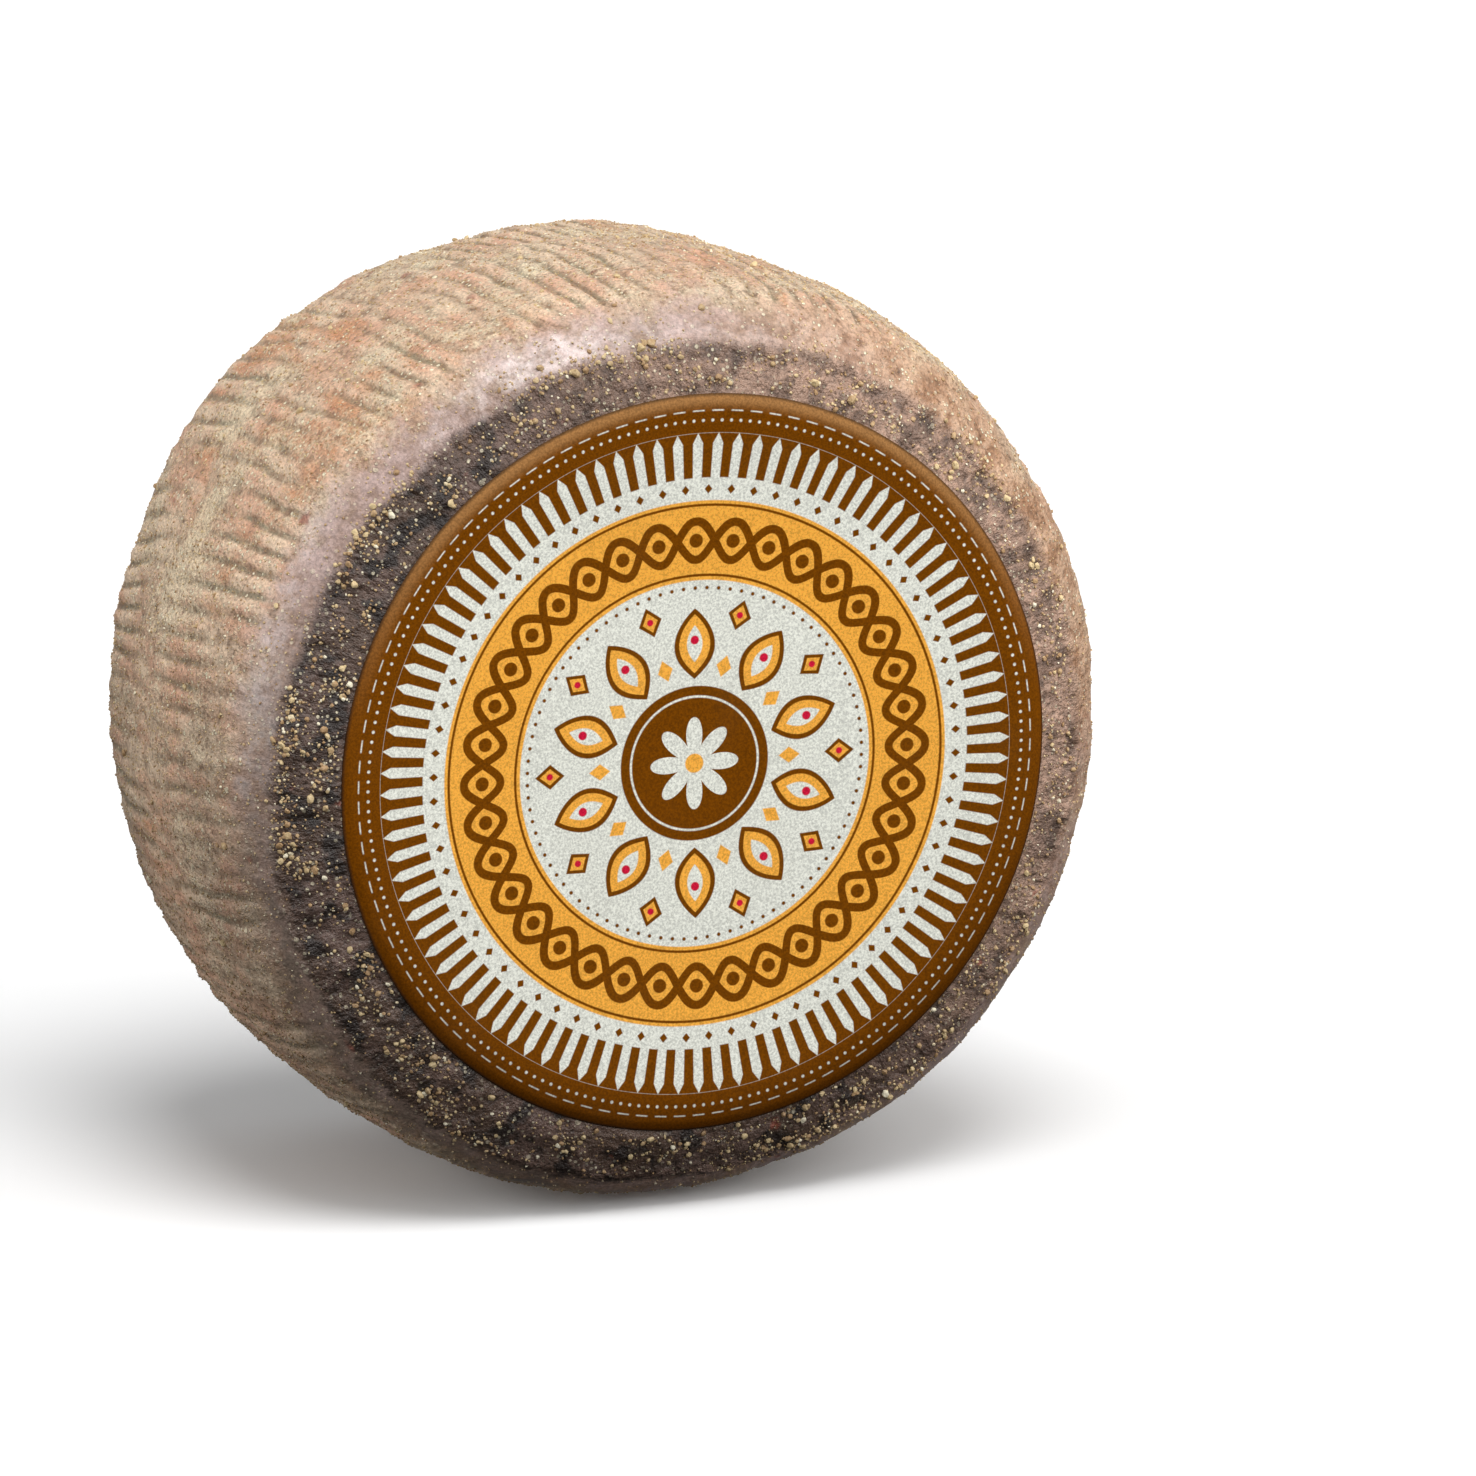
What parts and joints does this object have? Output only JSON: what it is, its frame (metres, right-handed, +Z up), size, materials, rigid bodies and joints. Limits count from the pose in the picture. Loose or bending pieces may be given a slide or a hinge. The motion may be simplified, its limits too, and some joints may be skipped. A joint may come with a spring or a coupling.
{
  "type": "aged pecorino wheel",
  "caption": "Whole aged sheep's-milk cheese wheel with a ribbed brown rind and a round paper label, standing on its edge.",
  "frame": {"origin": "on the ground under the middle of the wheel's box", "axes": "+Z up, the wheel's axis along Y with the labelled face looking along -Y, +X to the right as seen from the front"},
  "size_m": [0.1998, 0.1064, 0.1988],
  "materials": {
    "rind": "dry brown cheese rind with ribs, a greasy sheen on the shoulders and pale crumbs of dried bloom",
    "label_paper": "matt printed paper with rings of brown, cream and amber"
  },
  "bodies": {
    "root": {"cheese_wheel": "rind", "paper_label": "label_paper"}
  },
  "joints": []
}
